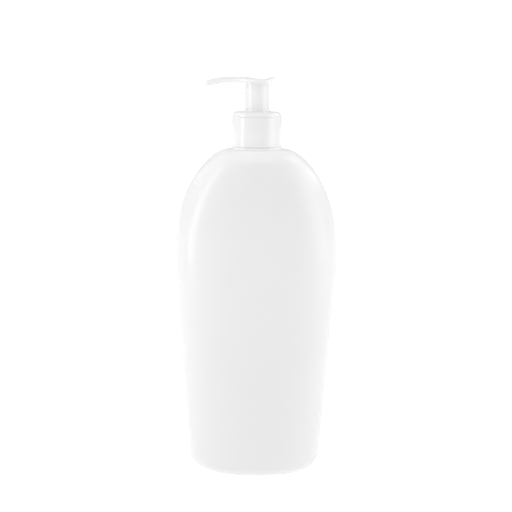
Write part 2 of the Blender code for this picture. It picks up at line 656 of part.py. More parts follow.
def head_ring(x, roundness=2.6, count=24):
    width, bottom, top = head_section(x)
    middle = (bottom + top) / 2
    half = (top - bottom) / 2
    ring = []
    for i in range(count):
        angle = math.tau * (i + 0.5) / count
        y = width * signed_power(math.cos(angle), 2 / roundness)
        z = middle + half * signed_power(math.sin(angle), 2 / roundness)
        ring.append((x, y, z))
    return ring


def head_stations():
    """Places along the head, closer together where it turns."""
    tip = [-NOZZLE_REACH + NOZZLE_EDGE * (1 - math.cos(math.radians(30 * i))) for i in range(4)]
    nozzle = [-NOZZLE_REACH + (NOZZLE_REACH - NOZZLE_EDGE) * i / 11 for i in range(1, 11)]
    paddle = [PADDLE_RADIUS * math.sin(math.radians(12 * i)) for i in range(0, 8)]
    return tip + [x for x in nozzle if x > tip[-1] + MM] + paddle


def make_head(parts, cutters):
    rings = [head_ring(x) for x in head_stations()]
    head = loft("actuator_head", rings, parts)
    middle = HEAD_UNDERSIDE + PADDLE_HEIGHT / 2
    sleeve = cylinder("head_sleeve", HEAD_SLEEVE_RADIUS, HEAD_BOTTOM, HEAD_UNDERSIDE + 1.0 * MM,
                      cutters, sides=COLLAR_SIDES)
    gusset = box("head_gusset", (2 * GUSSET, 2 * GUSSET, 2 * GUSSET),
                 (-HEAD_SLEEVE_RADIUS, 0.0, HEAD_UNDERSIDE), cutters)
    gusset.rotation_euler.y = math.radians(45)
    socket_bore = STEM_RADIUS + FIT_GAP
    socket = socket_bore + SOCKET_WALL
    bore = HEAD_SLEEVE_RADIUS - HEAD_SLEEVE_WALL
    socket_top = HEAD_UNDERSIDE - 2.0 * MM
    socket_bottom = socket_top - SOCKET_DEPTH
    roof = HEAD_UNDERSIDE - 1.2 * MM
    hollow = turned("head_hollow", [(0.0, socket_top), (socket_bore, socket_top),
                                    (socket_bore, socket_bottom), (socket, socket_bottom),
                                    (socket, roof), (bore, roof), (bore, HEAD_BOTTOM - 1.0 * MM),
                                    (0.0, HEAD_BOTTOM - 1.0 * MM)], PUMP_SIDES, cutters)
    rise = middle - socket_top
    bend = [(-rise * (1 - math.cos(t)), 0.0, socket_top - 0.5 * MM + (rise + 0.5 * MM) * math.sin(t))
            for t in (math.radians(15 * i) for i in range(7))]
    run = [(x, 0.0, middle - nozzle_droop(x))
           for x in (-NOZZLE_REACH * (0.2 + 0.083 * i) for i in range(11))]
    passage = curve_to_mesh(swept_tube("outlet_drill", bend + run, OUTLET_RADIUS, cutters), cutters)
    combine(head, sleeve, "UNION")
    combine(head, gusset, "UNION")
    combine(head, hollow, "DIFFERENCE")
    combine(head, passage, "DIFFERENCE")
    return head


# ---------------------------------------------------------------- assembly

def add_pivot(name, z, parent, collection):
    pivot = bpy.data.objects.new(name, None)
    collection.objects.link(pivot)
    pivot.empty_display_size = 10 * MM
    pivot.parent = parent
    pivot.location.z = z - (parent.matrix_world.translation.z if parent else 0.0)
    bpy.context.view_layer.update()
    return pivot


def hang(pivot, *things):
    """Parent pieces to a pivot without moving them."""
    for thing in things:
        thing.parent = pivot
        thing.matrix_parent_inverse = pivot.matrix_world.inverted()


def build():
    for thing in list(bpy.data.objects):
        bpy.data.objects.remove(thing)
    parts = new_collection("shampoo_bottle")
    cutters = new_collection("cutters")

    white_hdpe = make_material("white_hdpe", (0.93, 0.93, 0.93), 0.38)
    white_pp = make_material("white_pp", (0.94, 0.94, 0.94), 0.22)
    natural_pp = make_material("natural_pp", (0.86, 0.87, 0.86), 0.3, alpha=0.8)
    dip_ldpe = make_material("natural_ldpe", (0.88, 0.89, 0.88), 0.35, alpha=0.7)
    foam = make_material("gasket_foam", (0.82, 0.82, 0.8), 0.8)
    steel = make_material("spring_steel", (0.6, 0.6, 0.62), 0.25, metallic=1.0)
    glass = make_material("ball_glass", (0.75, 0.85, 0.82), 0.08, alpha=0.6)

    pieces = {
        "bottle": (make_bottle(parts, cutters), white_hdpe),
        "closure": (make_closure(parts, cutters), white_pp),
        "collar_sleeve": (make_collar_sleeve(parts), white_pp),
        "chaplet": (make_chaplet(parts), white_pp),
        "neck_gasket": (make_gasket(parts), foam),
        "pump_housing": (make_housing(parts, cutters), natural_pp),
        "dip_tube": (make_dip_tube(parts, cutters), dip_ldpe),
        "ball_cage": (make_ball_cage(parts, cutters), natural_pp),
        "inlet_ball": (make_ball(parts), glass),
        "return_spring": (make_spring(parts), steel),
        "valve_pin": (make_valve_pin(parts, cutters), natural_pp),
        "piston": (make_piston(parts), dip_ldpe),
        "stem": (make_stem(parts), white_pp),
        "actuator_head": (make_head(parts, cutters), white_pp),
    }
    for thing, material in pieces.values():
        thing.data.materials.append(material)
        if thing.type == "MESH":
            smooth(thing.data)

    def piece(name):
        return pieces[name][0]

    module = add_pivot("closure_rise", NECK_TOP, None, parts)
    turning = add_pivot("closure_turn", NECK_TOP, module, parts)
    plunger = add_pivot("pump_stroke", PIN_HEAD_TOP, module, parts)
    swivel = add_pivot("head_swivel", HEAD_UNDERSIDE, plunger, parts)
    slip = add_pivot("piston_slip", PISTON_BOTTOM, plunger, parts)
    valve = add_pivot("inlet_ball_lift", BALL_CENTRE, module, parts)
    hang(module, piece("pump_housing"), piece("chaplet"), piece("neck_gasket"), piece("dip_tube"),
         piece("ball_cage"), piece("return_spring"))
    hang(turning, piece("closure"), piece("collar_sleeve"))
    hang(plunger, piece("stem"), piece("valve_pin"))
    hang(swivel, piece("actuator_head"))
    hang(slip, piece("piston"))
    hang(valve, piece("inlet_ball"))


build()
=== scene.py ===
"""Oval shampoo bottle with a lotion pump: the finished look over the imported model.

Metres, +Z up, the nozzle along -X and the broad front face along -Y. Neck, closure and pump
share the Z axis.
"""
import json
import math

import bmesh
import bpy
from mathutils import Matrix, Vector


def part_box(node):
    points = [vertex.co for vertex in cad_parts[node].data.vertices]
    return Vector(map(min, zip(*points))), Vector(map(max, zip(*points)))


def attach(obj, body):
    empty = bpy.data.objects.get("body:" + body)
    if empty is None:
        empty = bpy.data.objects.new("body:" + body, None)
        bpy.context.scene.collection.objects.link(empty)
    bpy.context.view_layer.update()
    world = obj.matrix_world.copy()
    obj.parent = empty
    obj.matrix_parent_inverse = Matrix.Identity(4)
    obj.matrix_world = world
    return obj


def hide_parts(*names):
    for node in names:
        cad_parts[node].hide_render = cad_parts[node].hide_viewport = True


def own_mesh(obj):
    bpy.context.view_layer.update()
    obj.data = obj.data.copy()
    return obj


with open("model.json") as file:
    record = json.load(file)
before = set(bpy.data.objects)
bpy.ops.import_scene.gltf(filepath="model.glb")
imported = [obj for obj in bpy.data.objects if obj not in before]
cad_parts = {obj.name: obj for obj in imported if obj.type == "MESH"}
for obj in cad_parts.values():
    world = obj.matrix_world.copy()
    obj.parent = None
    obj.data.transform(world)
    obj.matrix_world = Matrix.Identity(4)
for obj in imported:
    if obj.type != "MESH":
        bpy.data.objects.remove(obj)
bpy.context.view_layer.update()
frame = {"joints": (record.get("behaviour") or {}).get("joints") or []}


# ---------------------------------------------------------------------------------------------
# Bottle. One blow-moulded piece of white high-density polyethylene: satin skin, a fine mould
# line down each side, a pinched-off seam under the foot. The 28 mm neck with its bead and its
# single right-hand thread is formed in the same shot.

MM = 0.001
bottle_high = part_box("bottle")[1]
mould_line = 0.05 * MM
mould_line_width = 0.35 * MM
body_x = bottle_high.x - mould_line
body_y = bottle_high.y
neck_top = bottle_high.z
neck_height = 16.5 * MM
shoulder_top = neck_top - neck_height
shoulder_height = 65.5 * MM
roundness = 2.2
foot_x = 44.9 * MM
foot_y = 30.5 * MM
foot_radius = 8.1 * MM
foot_rim = 3.0 * MM
push_up = 3.5 * MM
wall = 1.2 * MM
neck_radius = 12.6 * MM
bead_radius = neck_radius + 3.3 * MM
bead_top = shoulder_top + 1.56 * MM
land = neck_radius + 5.2 * MM
pitch = 25.4 / 6 * MM
thread_turns = 1.25
thread_height = 1.15 * MM
thread_top = neck_top - 2.3 * MM


class Signal:
    """A shader socket that takes part in Python arithmetic."""

    def __init__(self, graph, socket):
        self.graph = graph
        self.socket = socket

    def math(self, operation, first, second=0.0):
        return self.graph.node("Math", {0: first, 1: second}, operation=operation)

    def __add__(self, other):
        return self.math("ADD", self, other)

    def __radd__(self, other):
        return self.math("ADD", other, self)

    def __sub__(self, other):
        return self.math("SUBTRACT", self, other)

    def __rsub__(self, other):
        return self.math("SUBTRACT", other, self)

    def __mul__(self, other):
        return self.math("MULTIPLY", self, other)

    def __rmul__(self, other):
        return self.math("MULTIPLY", other, self)

    def __abs__(self):
        return self.math("ABSOLUTE", self)

    def ramp(self, low, high):
        """0 at low, 1 at high, with soft ends."""
        return self.graph.node("MapRange", {"Value": self, "From Min": low, "From Max": high},
                               interpolation_type="SMOOTHSTEP")


class Graph:
    """A node tree, with one method that adds every node."""

    def __init__(self, tree):
        self.tree = tree

    def feed(self, socket, value):
        if isinstance(value, Signal):
            self.tree.links.new(value.socket, socket)
        elif isinstance(value, tuple) and len(value) == 3 and socket.type == "RGBA":
            socket.default_value = (*value, 1.0)
        else:
            socket.default_value = value

    def node(self, kind, sockets, out=0, **settings):
        made = self.tree.nodes.new("ShaderNode" + kind)
        for label, value in settings.items():
            setattr(made, label, value)
        for label, value in sockets.items():
            self.feed(made.inputs[label], value)
        return Signal(self, made.outputs[out])


class Finish(Graph):
    """A node material built round one Principled shader; uniform values go straight on it."""

    def __init__(self, name, **uniform):
        self.material = bpy.data.materials.new(name)
        self.material.use_nodes = True
        super().__init__(self.material.node_tree)
        self.shader = self.tree.nodes["Principled BSDF"]
        self.shade(**uniform)

    def place(self):
        """Position on the piece, in metres in the object's frame."""
        return self.node("TexCoord", {}, out="Object")

    def grain(self, size, detail=2.0, stretch=(1.0, 1.0, 1.0)):
        """Noise from 0 to 1 with features of about that size."""
        spot = self.node("Mapping", {"Vector": self.place(), "Scale": stretch})
        return self.node("TexNoise", {"Vector": spot, "Scale": 1 / size, "Detail": detail})

    def blend(self, factor, first, second):
        """Mix of two colours."""
        return self.node("Mix", {0: factor, 6: first, 7: second}, out=2, data_type="RGBA")

    def bump(self, height, depth, below=None):
        """Surface relief: height from 0 to 1 stands depth metres tall."""
        sockets = {"Height": height, "Distance": depth, "Strength": 1.0}
        if below is not None:
            sockets["Normal"] = below
        return self.node("Bump", sockets)

    def shade(self, **sockets):
        for label, value in sockets.items():
            self.feed(self.shader.inputs[label.replace("_", " ")], value)


def add_piece(name, mesh):
    piece = bpy.data.objects.new(name, mesh)
    bpy.context.scene.collection.objects.link(piece)
    return piece


def skin(name, rings, close=False, cap_start=False, cap_end=False):
    """Skin equal rings of points; close joins the last ring to the first."""
    bm = bmesh.new()
    loops = [[bm.verts.new(point) for point in ring] for ring in rings]
    count = len(rings[0])
    pairs = list(zip(loops, loops[1:]))
    if close:
        pairs.append((loops[-1], loops[0]))
    for lower, upper in pairs:
        for i in range(count):
            j = (i + 1) % count
            bm.faces.new((lower[i], lower[j], upper[j], upper[i]))
    if cap_start:
        bm.faces.new(list(reversed(loops[0])))
    if cap_end:
        bm.faces.new(loops[-1])
    bmesh.ops.remove_doubles(bm, verts=bm.verts, dist=1e-8)
    bmesh.ops.recalc_face_normals(bm, faces=bm.faces)
    mesh = bpy.data.meshes.new(name)
    bm.to_mesh(mesh)
    bm.free()
    return add_piece(name, mesh)


def freeze(piece):
    """Apply a piece's modifiers."""
    graph = bpy.context.evaluated_depsgraph_get()
    mesh = bpy.data.meshes.new_from_object(piece.evaluated_get(graph))
    piece.modifiers.clear()
    piece.data = mesh


def combine(piece, tool, operation="UNION"):
    """Join another piece to this one, or cut it away, and drop the other."""
    boolean = piece.modifiers.new("Join", "BOOLEAN")
    boolean.operation = operation
    boolean.object = tool
    freeze(piece)
    bpy.data.objects.remove(tool)


def soften(piece, angle=40.0):
    """Smooth shading that keeps flat faces flat beside small rounded edges."""
    piece.data.shade_smooth()
    piece.data.set_sharp_from_angle(angle=math.radians(angle))
    weighted = piece.modifiers.new("Normals", "WEIGHTED_NORMAL")
    weighted.keep_sharp = True


def finish_piece(piece, finish, body, slot, *nodes):
    """Give a piece its material, parent it to its body's empty, and hide the imported parts it
    stands in for.
    """
    piece.data.materials.clear()
    piece.data.materials.append(finish.material)
    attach(piece, body)
    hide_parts(*nodes)


def bezier(start, first, second, end, count):
    """Points along one cubic Bezier curve, both ends included."""
    corners = [Vector(corner) for corner in (start, first, second, end)]
    points = []
    for i in range(count + 1):
        t = i / count
        weights = ((1 - t) ** 3, 3 * t * (1 - t) ** 2, 3 * t * t * (1 - t), t ** 3)
        total = Vector([0.0] * len(start))
        for corner, weight in zip(corners, weights):
            total += corner * weight
        points.append(total)
    return points


def arc(x, y, radius, first, last, count):
    """Points along an arc; angles in degrees."""
    angles = [math.radians(first + (last - first) * i / count) for i in range(count + 1)]
    return [(x + radius * math.cos(a), y + radius * math.sin(a)) for a in angles]


def signed_power(value, power):
    return math.copysign(abs(value) ** power, value)


def eased(outline, radius, steps=4):
    """Round the corners of a closed (radius, z) outline; shallow corners stay."""
    points = []
    for i, here in enumerate(outline):
        corner = Vector(here)
        before = Vector(outline[i - 1]) - corner
        after = Vector(outline[(i + 1) % len(outline)]) - corner
        if here[0] == 0.0 or before.angle(after) > math.radians(155):
            points.append(corner)
            continue
        reach = min(radius, 0.45 * before.length, 0.45 * after.length)
        start = corner + before.normalized() * reach
        end = corner + after.normalized() * reach
        for j in range(steps + 1):
            t = j / steps
            points.append(start * (1 - t) ** 2 + corner * 2 * t * (1 - t) + end * t * t)
    return points


def turned(name, outline, edge=0.2 * MM, sides=96):
    """Turn a closed (radius, z) outline about Z, with its corners rounded by edge."""
    points = eased(outline, edge) if edge else outline
    solid = outline[0][0] == 0.0
    rings = []
    for radius, z in points:
        angles = [math.tau * i / sides for i in range(sides)]
        rings.append([(radius * math.cos(a), radius * math.sin(a), z) for a in angles])
    return skin(name, rings, close=not solid)


def thread_ridge(name, wall_radius, crest, top):
    """A right-hand helical ridge; its ends fade into the wall."""
    inward = math.copysign(1.0, wall_radius - crest)
    root = wall_radius + inward * 0.4 * MM
    steps = round(thread_turns * 64)
    rings = []
    for i in range(steps + 1):
        turn = thread_turns * i / steps
        fade = min(1.0, 8 * min(turn, thread_turns - turn) + 0.05)
        height = wall_radius - (wall_radius - crest) * math.sin(fade * math.pi / 2)
        z = top - pitch * (thread_turns - turn)
        angle = math.tau * turn
        section = eased([(root, z - 0.9 * MM), (height, z - 0.4 * MM), (height, z + 0.4 * MM),
                         (root, z + 0.9 * MM)], 0.25 * MM, 2)
        rings.append([(r * math.cos(angle), r * math.sin(angle), h) for r, h in section])
    return skin(name, rings, cap_start=True, cap_end=True)


def oval(half_width, half_depth, z, exponent, seam):
    """A ring of the oval body; seam is how far the mould line stands out at each side."""
    sides = 176
    points = []
    for i in range(sides):
        angle = math.tau * i / sides
        x = half_width * signed_power(math.cos(angle), 2 / exponent)
        y = half_depth * signed_power(math.sin(angle), 2 / exponent)
        points.append((x, y, z))
        if i in (0, sides // 2):
            side = 1 if i == 0 else -1
            points[-1] = (side * half_width, -side * mould_line_width / 2, z)
            points.append((side * (half_width + seam), 0.0, z))
            points.append((side * half_width, side * mould_line_width / 2, z))
    return points


def body_levels():
    """(half width, half depth, z, exponent, seam) of the skin, from under the foot to the land."""
    levels = []
    rim = foot_radius + foot_rim
    hollow = bezier((28.0 * MM, push_up), (10.0 * MM, push_up), (4.0 * MM, 0.0), (0.0, 0.0), 16)
    for inset, z in hollow:
        levels.append((foot_x - rim - 1.15 * inset, max(foot_y - rim - 0.66 * inset, 0.8 * MM),
                       z, roundness, 0.0))
    for inset, z in arc(foot_radius, foot_radius, foot_radius, 270, 180, 14):
        levels.append((foot_x - inset, foot_y - inset, z, roundness, mould_line))
    shoulder_start = shoulder_top - shoulder_height
    side = shoulder_start - foot_radius
    flank = bezier((foot_x, foot_y, foot_radius),
                   (body_x - 1.8 * MM, body_y - 0.1 * MM, foot_radius + 0.77 * side),
                   (body_x, body_y, shoulder_start - 0.1 * side),
                   (body_x, body_y, shoulder_start), 32)
    for x, y, z in flank[1:]:
        levels.append((x, y, z, roundness, mould_line))
    steps = 44
    shoulder = bezier((body_x, body_y, shoulder_start),
                      (body_x, body_y, shoulder_start + 0.52 * shoulder_height),
                      (land + 15.2 * MM, body_y - 3.6 * MM, shoulder_top),
                      (land, land - 1.0 * MM, shoulder_top), steps)
    for i, (x, y, z) in enumerate(shoulder[1:], 1):
        share = i / steps
        levels.append((x, y, z, roundness + (2.0 - roundness) * share, mould_line * (1 - share)))
    return levels


def inset_levels(levels):
    """The same levels moved in by the wall, square to the skin."""
    moved = []
    for i, (x, y, z, exponent, seam) in enumerate(levels):
        before, after = levels[max(i - 1, 0)], levels[min(i + 1, len(levels) - 1)]
        along_x = Vector((after[0] - before[0], after[2] - before[2])).normalized()
        along_y = Vector((after[1] - before[1], after[2] - before[2])).normalized()
        moved.append((max(x - wall * along_x.y, 0.8 * MM), max(y - wall * along_y.y, 0.5 * MM),
                      z + wall * (along_x.x + along_y.x) / 2, exponent, 0.0))
    return moved


def neck_levels(profile):
    """Round levels of the neck from (radius, z) points."""
    return [(radius, radius, z, 2.0, 0.0) for radius, z in profile]


skin_levels = body_levels()
fillet = bezier((bead_radius + 1.5 * MM, shoulder_top), (bead_radius + 0.6 * MM, shoulder_top),
                (bead_radius, shoulder_top + 0.4 * MM), (bead_radius - 0.2 * MM, bead_top), 10)
neck_lip = eased([(neck_radius + 0.4 * MM, bead_top), (neck_radius, bead_top + 0.3 * MM),
                  (neck_radius, neck_top), (neck_radius - wall, neck_top),
                  (neck_radius - wall, shoulder_top - wall),
                  (neck_radius + 3.0 * MM, shoulder_top - wall)], 0.3 * MM)
all_levels = [*skin_levels, *neck_levels([*fillet, *neck_lip]),
              *reversed(inset_levels(skin_levels))]
bottle = skin("bottle_body", [oval(*level) for level in all_levels], cap_start=True, cap_end=True)


def join(piece, *others):
    """Make closed meshes one piece."""
    bm = bmesh.new()
    for part in (piece, *others):
        bm.from_mesh(part.data)
    bm.to_mesh(piece.data)
    bm.free()
    for part in others:
        bpy.data.objects.remove(part)


seam_reach = 19.0 * MM
seam_half = 0.45 * MM
seam_root = push_up + 0.4 * MM
seam_rings = []
for i in range(25):
    x = seam_reach * (i / 12 - 1)
    half = seam_half * math.sqrt(max(0.02, 1 - (x / seam_reach) ** 2))
    low = push_up - 0.62 * half
    seam_rings.append([(x, -half, seam_root), (x, -half, low + half / 3), (x, -half / 2, low),
                       (x, half / 2, low), (x, half, low + half / 3), (x, half, seam_root)])
join(bottle, thread_ridge("thread", neck_radius, neck_radius + thread_height, thread_top),
     skin("pinch_off", seam_rings, cap_start=True, cap_end=True))

hdpe = Finish("satin_white_polyethylene", IOR=1.54, Specular_IOR_Level=0.45,
              Subsurface_Weight=0.5, Subsurface_Scale=2.0 * MM, Subsurface_Radius=(1.0, 1.0, 1.0))
across = hdpe.node("SeparateXYZ", {"Vector": hdpe.place()}, out="Y")
height = hdpe.node("SeparateXYZ", {"Vector": hdpe.place()}, out="Z")
# Painted light: the neck and the top 9 mm of the shoulder are coloured whiter than the wall (0.97
# against about 0.86) to lighten the shade under the collar.
painted_neck_light = height.ramp(shoulder_top - 9 * MM, shoulder_top)
line = 1 - abs(across).ramp(0.1 * MM, 0.35 * MM)
cloud = hdpe.grain(60 * MM, 3.0)
peel = hdpe.grain(1.4 * MM, 1.0)
wave = hdpe.grain(22 * MM, 1.0, (1.0, 1.0, 0.5))
relief = hdpe.bump(wave, 0.08 * MM)
relief = hdpe.bump(peel, 0.0025 * MM, relief)
relief = hdpe.bump(line, 0.03 * MM, relief)
wall_white = hdpe.blend(cloud.ramp(0.3, 0.7), (0.853, 0.853, 0.852), (0.862, 0.862, 0.862))
neck_painted_light_white = (0.97, 0.97, 0.97)
hdpe.shade(Base_Color=hdpe.blend(painted_neck_light, wall_white, neck_painted_light_white),
           Roughness=0.24 + cloud * 0.03 + peel * 0.02 + line * 0.06, Normal=relief)

soften(bottle, 50)
finish_piece(bottle, hdpe, "bottle", "white_hdpe", "bottle")


# ---------------------------------------------------------------------------------------------
# Neck gasket. A die-cut ring of closed-cell polyethylene foam, laid in the closure; it is
# squeezed between the neck's lip and the pump's flange.

gasket_low, gasket_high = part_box("neck_gasket")
gasket_radius = gasket_high.x
gasket_bore = gasket_radius - 2.7 * MM
gasket = turned("foam_gasket", [
    (gasket_bore, gasket_high.z), (gasket_radius, gasket_high.z),
    (gasket_radius, gasket_low.z), (gasket_bore, gasket_low.z)], 0.12 * MM)
foam = Finish("gasket_foam")
cell = 0.35 * MM
cells = foam.node("TexVoronoi", {"Vector": foam.place(), "Scale": 1 / cell})
foam.shade(Base_Color=foam.blend(cells, (0.74, 0.74, 0.72), (0.86, 0.86, 0.84)),
           Roughness=0.75 + cells * 0.15, Normal=foam.bump(cells, 0.05 * MM))
soften(gasket)
finish_piece(gasket, foam, "pump_module", "gasket_foam", "neck_gasket")


# ---------------------------------------------------------------------------------------------
# Pump housing. A stepped tube moulded in unpigmented, slightly cloudy polypropylene: flange and
# cup, barrel, ball chamber with its conical seat, and the socket for the dip tube. A small vent
# lets air into the bottle behind the piston.

housing_low, housing_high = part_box("pump_housing")
cage_low, cage_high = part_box("ball_cage")
chaplet_low, chaplet_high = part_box("chaplet")
flange_radius = housing_high.x
flange_bottom = housing_high.z - 1.6 * MM
cup_bore = 9.1 * MM
cup_radius = 9.9 * MM
cup_floor = chaplet_low.z - 0.3 * MM
barrel_bore = 6.0 * MM
barrel_radius = 7.0 * MM
barrel_floor = cage_low.z - 0.3 * MM
socket_bore = 4.05 * MM
socket_radius = 5.05 * MM
chamber_bore = 3.2 * MM
chamber_radius = chamber_bore + 1.0 * MM
seat_bore = 1.7 * MM
inlet_bottom = housing_low.z + 12.0 * MM
seat_bottom = inlet_bottom + 2.0 * MM
seat_top = seat_bottom + 2.0 * MM
chamber_top = barrel_floor - 1.0 * MM

housing = turned("pump_engine_housing", [
    (cup_bore, housing_high.z), (flange_radius, housing_high.z), (flange_radius, flange_bottom),
    (cup_radius, flange_bottom), (cup_radius, cup_floor), (barrel_radius, cup_floor - 1.0 * MM),
    (barrel_radius, chamber_top), (chamber_radius, chamber_top),
    (chamber_radius, seat_bottom), (socket_radius, inlet_bottom + 1.0 * MM),
    (socket_radius, housing_low.z), (socket_bore, housing_low.z), (socket_bore, inlet_bottom),
    (seat_bore, inlet_bottom), (seat_bore, seat_bottom), (chamber_bore, seat_top),
    (chamber_bore, barrel_floor), (barrel_bore, barrel_floor), (barrel_bore, cup_floor),
    (cup_bore, cup_floor)], 0.15 * MM, 72)
vent_radius = 0.5 * MM
vent_half = 1.5 * MM
vent = turned("vent", [(0.0, vent_half), (vent_radius, vent_half), (vent_radius, -vent_half),
                       (0.0, -vent_half)], 0.0, 16)
vent.rotation_euler.x = math.radians(90)
vent.location = (0.0, -(cup_bore + cup_radius) / 2, cup_floor + 5.0 * MM)
bpy.context.view_layer.update()
combine(housing, vent, "DIFFERENCE")

natural = Finish("natural_polypropylene", Transmission_Weight=0.25, IOR=1.49)
flow = natural.grain(6 * MM, 2.0, (1.0, 1.0, 0.25))
natural.shade(Base_Color=natural.blend(flow, (0.8, 0.82, 0.81), (0.88, 0.89, 0.88)),
              Roughness=0.24 + flow * 0.08, Normal=natural.bump(flow, 0.02 * MM))
soften(housing)
finish_piece(housing, natural, "pump_module", "natural_pp", "pump_housing")


# ---------------------------------------------------------------------------------------------
# Dip tube. Extruded low-density polyethylene, pushed into the housing's socket; its foot is cut
# on the slant so that it can't seal against the bottle's floor.

tube_low, tube_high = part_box("dip_tube")
tube_radius = tube_high.x
tube_bore = tube_radius - 1.0 * MM
tube_slope = math.tan(math.radians(25))


def tube_ring(radius, z, slope):
    angles = [math.tau * i / 48 for i in range(48)]
    return [(radius * math.cos(a), radius * math.sin(a),
             z + slope * (tube_radius - radius * math.cos(a))) for a in angles]


ease = 0.12 * MM
dip_tube = skin("dip_tube_cut", [
    tube_ring(tube_bore, tube_high.z - ease, 0.0),
    tube_ring(tube_bore + ease, tube_high.z, 0.0),
    tube_ring(tube_radius - ease, tube_high.z, 0.0),
    tube_ring(tube_radius, tube_high.z - ease, 0.0),
    tube_ring(tube_radius, tube_low.z + ease, tube_slope),
    tube_ring(tube_radius - ease, tube_low.z, tube_slope),
    tube_ring(tube_bore + ease, tube_low.z, tube_slope),
    tube_ring(tube_bore, tube_low.z + ease, tube_slope)], close=True)
ldpe = Finish("natural_polyethylene", Transmission_Weight=0.3, IOR=1.51)
draw = ldpe.grain(1.5 * MM, 2.0, (1.0, 1.0, 0.03))
ldpe.shade(Base_Color=ldpe.blend(draw, (0.82, 0.84, 0.83), (0.9, 0.91, 0.9)),
           Roughness=0.32 + draw * 0.1, Normal=ldpe.bump(draw, 0.02 * MM))
soften(dip_tube)
finish_piece(dip_tube, ldpe, "pump_module", "natural_ldpe", "dip_tube")


# ---------------------------------------------------------------------------------------------
# Ball cage. A washer of natural polypropylene snapped in over the ball chamber: it stops the
# ball and seats the spring, and its notches let the shampoo through when the ball is up.

cage_radius = cage_high.x
cage_bore = 1.9 * MM
cage_middle = (cage_low.z + cage_high.z) / 2
notch_reach = 3.04 * MM
notch_half = 0.6 * MM
cage = turned("ball_cage_washer", [
    (cage_bore, cage_high.z), (cage_radius, cage_high.z), (cage_radius, cage_low.z),
    (cage_bore, cage_low.z)], 0.1 * MM, 72)


def bar(name, reach, half, low, high):
    """A square bar along X, to cut with."""
    corners = ((-half, low), (half, low), (half, high), (-half, high))
    return skin(name, [[(x, y, z) for y, z in corners] for x in (-reach, reach)],
                cap_start=True, cap_end=True)


for i in range(3):
    notch = bar("notch", notch_reach, notch_half, cage_middle - 2 * MM, cage_middle + 2 * MM)
    notch.rotation_euler.z = math.radians(60 * i)
    bpy.context.view_layer.update()
    combine(cage, notch, "DIFFERENCE")
soften(cage)
finish_piece(cage, natural, "pump_module", "natural_pp", "ball_cage")


# ---------------------------------------------------------------------------------------------
# Inlet ball. Ground soda-lime glass: it drops on the conical seat and closes the dip tube while
# the piston goes down.

ball_low, ball_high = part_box("inlet_ball")
ball_radius = (ball_high.z - ball_low.z) / 2
ball_mesh = bpy.data.meshes.new("glass_ball")
bm = bmesh.new()
bmesh.ops.create_icosphere(bm, subdivisions=5, radius=ball_radius,
                           matrix=Matrix.Translation((0.0, 0.0, ball_low.z + ball_radius)))
bm.to_mesh(ball_mesh)
bm.free()
ball = add_piece("glass_ball", ball_mesh)
ball.data.shade_smooth()
glass = Finish("ground_glass", Transmission_Weight=0.8, IOR=1.52)
scuff = glass.grain(0.4 * MM, 4.0)
glass.shade(Base_Color=glass.blend(scuff, (0.78, 0.88, 0.85), (0.86, 0.93, 0.9)),
            Roughness=0.04 + scuff.ramp(0.55, 0.8) * 0.2, Normal=glass.bump(scuff, 0.002 * MM))
finish_piece(ball, glass, "inlet_ball", "ball_glass", "inlet_ball")


# ---------------------------------------------------------------------------------------------
# Return spring. Coiled stainless wire with one closed coil at each end; it stands on the cage
# and lifts the plunger, and it closes up as the head is pressed; here it is built at full length
# only.

spring_low, spring_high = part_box("return_spring")
wire = 0.4 * MM
spring_radius = spring_high.x - wire
spring_turns = 8
coil_steps = 40
closed_coil = 2.2 * wire
first_z = spring_low.z + wire
last_z = spring_high.z - wire
spring_rings = []
for i in range(coil_steps * spring_turns + 1):
    turn = i / coil_steps
    rise = (turn - 1) / (spring_turns - 2)
    if turn < 1:
        z = first_z + closed_coil * turn
    elif turn > spring_turns - 1:
        z = last_z - closed_coil * (spring_turns - turn)
    else:
        z = first_z + closed_coil + (last_z - first_z - 2 * closed_coil) * rise
    angle = math.tau * turn
    outward = Vector((math.cos(angle), math.sin(angle), 0.0))
    middle = outward * spring_radius + Vector((0.0, 0.0, z))
    around = [math.tau * k / 12 for k in range(12)]
    spring_rings.append([middle + outward * wire * math.cos(a)
                         + Vector((0.0, 0.0, wire * math.sin(a))) for a in around])
spring = skin("wire_spring", spring_rings, cap_start=True, cap_end=True)
steel = Finish("drawn_stainless_wire", Metallic=1.0)
scratch = steel.grain(0.25 * MM, 3.0)
steel.shade(Base_Color=steel.blend(scratch, (0.52, 0.52, 0.53), (0.66, 0.66, 0.67)),
            Roughness=0.22 + scratch * 0.12, Normal=steel.bump(scratch, 0.004 * MM))
soften(spring)
finish_piece(spring, steel, "pump_module", "spring_steel", "return_spring")
stroke = next(joint for joint in frame["joints"] if joint["name"] == "pump_stroke")["range_m"][1]
spring_length = spring_high.z - spring_low.z
(spring_length - stroke) / spring_length
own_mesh(spring)


# ---------------------------------------------------------------------------------------------
# Valve pin. Natural polypropylene, pressed into the stem's foot: its head carries the piston
# and rests on the spring, and shampoo enters the stem by the port in its shank.

